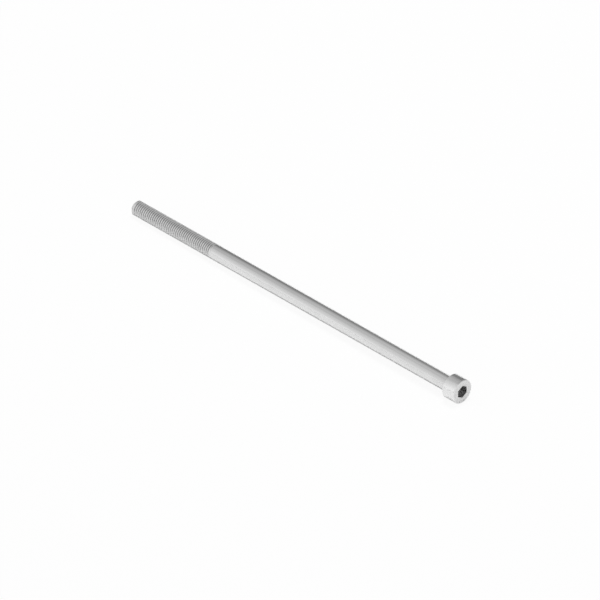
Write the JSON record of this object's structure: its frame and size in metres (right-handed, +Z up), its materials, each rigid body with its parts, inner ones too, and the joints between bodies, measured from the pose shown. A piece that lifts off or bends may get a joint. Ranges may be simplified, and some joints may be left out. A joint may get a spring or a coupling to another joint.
{
  "type": "hex socket head cap screw",
  "caption": "Long steel cap screw with a cylindrical head, a hexagon socket for a key, a plain shank and a threaded end.",
  "frame": {"origin": "on the screw's axis, in the plane of the bearing face under the head", "axes": "+X along the axis, from the tip towards the head; +Z up with the screw lying level; two corners of the socket point along +Z and -Z"},
  "size_m": [0.228, 0.013, 0.013],
  "materials": {
    "steel": "bright turned steel, satin"
  },
  "bodies": {
    "root": {"cap_screw": "steel"}
  },
  "joints": []
}
